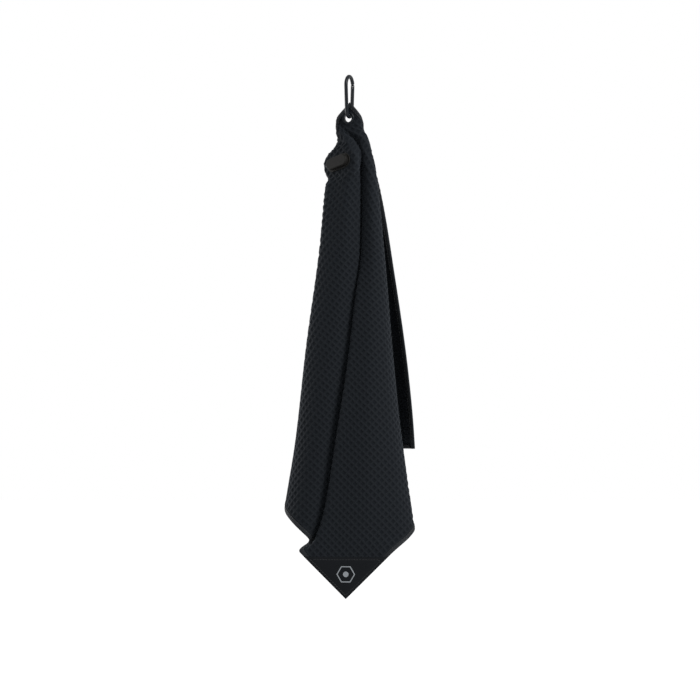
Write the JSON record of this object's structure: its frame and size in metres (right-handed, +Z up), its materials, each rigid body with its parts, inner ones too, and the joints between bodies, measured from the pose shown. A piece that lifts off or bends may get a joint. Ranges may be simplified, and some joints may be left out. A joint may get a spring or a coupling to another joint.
{
  "type": "golf towel",
  "caption": "Square waffle golf towel hung by one corner eyelet from a small spring-gate carabiner, with a magnet pad, taped hem and smooth corner patch.",
  "frame": {"origin": "the hang point: the inside of the carabiner's upper bow, at its middle", "axes": "+Z up, the viewer who faces the towel's front looks along +Y, +X to the viewer's right"},
  "size_m": [0.1496, 0.1173, 0.5928],
  "materials": {
    "black_metal": "black anodised, semi-gloss",
    "spring_steel": "plain",
    "dark_nickel": "black nickel, semi-gloss",
    "waffle_microfibre": "matt waffle weave",
    "hem_tape": "matt woven tape",
    "smooth_patch": "smooth, satin",
    "pale_print": "matt raised print",
    "soft_touch_pad": "soft-touch moulding",
    "magnet_plating": "nickel-plated magnet"
  },
  "bodies": {
    "carabiner": {"carabiner_body": "black_metal", "gate_pivot_rivet": "black_metal"},
    "gate": {"carabiner_gate": "black_metal", "gate_latch_pin": "spring_steel", "gate_plunger": "spring_steel", "gate_spring": "spring_steel"},
    "towel": {"towel_cloth": "waffle_microfibre", "hem_tape_upper_left": "hem_tape", "hem_tape_upper_right": "hem_tape", "hem_tape_lower_left": "hem_tape", "hem_tape_lower_right": "hem_tape", "corner_patch_front": "smooth_patch", "corner_patch_back": "smooth_patch", "emblem_frame": "pale_print", "emblem_dot": "pale_print", "eyelet": "dark_nickel", "eyelet_washer": "dark_nickel", "magnet_flange": "soft_touch_pad", "magnet_cover": "soft_touch_pad", "magnet_disc_left": "magnet_plating", "magnet_disc_right": "magnet_plating", "magnet_backing": "soft_touch_pad"}
  },
  "joints": [
    {"name": "gate_hinge", "type": "hinge", "parent": "carabiner", "child": "gate", "pos_m": [0.00304, 0.00763, -0.03333], "axis": [0.9291, -0.3698, 0], "range_deg": [0, 25], "stiffness_Nm_per_rad": 0.02, "springref_deg": -20.05},
    {"name": "towel_swing", "type": "hinge", "parent": "carabiner", "child": "towel", "pos_m": [0, 0, -0.0437], "axis": [0.3698, 0.9291, 0], "range_deg": [-50, 50]}
  ]
}
